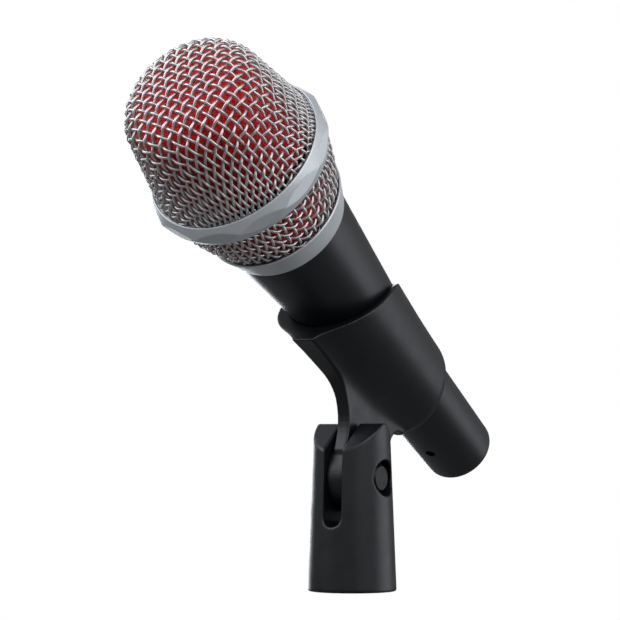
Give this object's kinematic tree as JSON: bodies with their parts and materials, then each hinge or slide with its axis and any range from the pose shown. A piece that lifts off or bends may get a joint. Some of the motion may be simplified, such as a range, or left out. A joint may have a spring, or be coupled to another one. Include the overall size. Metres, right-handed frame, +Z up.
{
  "type": "dynamic microphone",
  "caption": "Handheld dynamic microphone with a domed wire-mesh head over red foam and a faceted ring, held in a tilting clip on a stand-thread base.",
  "frame": {"origin": "centre of the stand thread's mouth, in the bottom face of the clip's base", "axes": "+Z up out of the stand's thread, +X along the clip's pivot, the microphone's head leans towards -Y"},
  "size_m": [0.0532, 0.168, 0.1496],
  "materials": {
    "moulded_nylon": "satin moulded",
    "turned_brass": "turned",
    "plated_steel": "plated",
    "blackened_steel": "black oxide",
    "black_enamel": "satin enamel",
    "socket_plastic": "moulded",
    "contact_plating": "plated",
    "lead_insulation": "extruded",
    "turned_aluminium": "turned",
    "mount_rubber": "moulded",
    "carrier_plastic": "moulded",
    "board_laminate": "laminate",
    "soft_iron": "zinc plated",
    "magnet_nickel": "nickel plated",
    "coil_copper": "enamelled wire",
    "polyester_film": "formed film",
    "grey_felt": "felt",
    "silver_lacquer": "satin silver",
    "mesh_wire": "woven wire",
    "red_foam": "open-cell foam"
  },
  "bodies": {
    "stand": {"stand_base": "moulded_nylon", "thread_insert": "turned_brass", "thread_adapter": "plated_steel", "pivot_bolt": "blackened_steel", "spring_washer": "blackened_steel", "pivot_nut": "blackened_steel"},
    "clip": {"clip_sleeve": "moulded_nylon"},
    "microphone": {"handle_body": "black_enamel", "xlr_insulator": "socket_plastic", "xlr_pins": "contact_plating", "xlr_set_screw": "blackened_steel", "signal_leads": "lead_insulation", "threaded_collar": "turned_aluminium", "shock_mount": "mount_rubber", "capsule_carrier": "carrier_plastic", "terminal_board": "board_laminate", "magnet_cup": "soft_iron", "magnet": "magnet_nickel", "pole_plate": "soft_iron", "voice_coil": "coil_copper", "diaphragm": "polyester_film", "capsule_basket": "carrier_plastic", "capsule_cap": "carrier_plastic", "capsule_felt": "grey_felt"},
    "grille": {"grille_band": "silver_lacquer", "lower_mesh": "mesh_wire", "grille_ring": "silver_lacquer", "upper_mesh": "mesh_wire", "lower_foam": "red_foam", "upper_foam": "red_foam"}
  },
  "joints": [
    {"name": "clip_tilt", "type": "hinge", "parent": "stand", "child": "clip", "pos_m": [0, 0, 0.0326], "axis": [1, 0, 0], "range_deg": [-58, 90]},
    {"name": "mic_slide", "type": "slide", "parent": "clip", "child": "microphone", "axis": [0, -0.8536, 0.521], "range_m": [0, 0.096]},
    {"name": "grille_lift", "type": "slide", "parent": "microphone", "child": "grille", "axis": [0, -0.8536, 0.521], "range_m": [0, 0.034]}
  ]
}
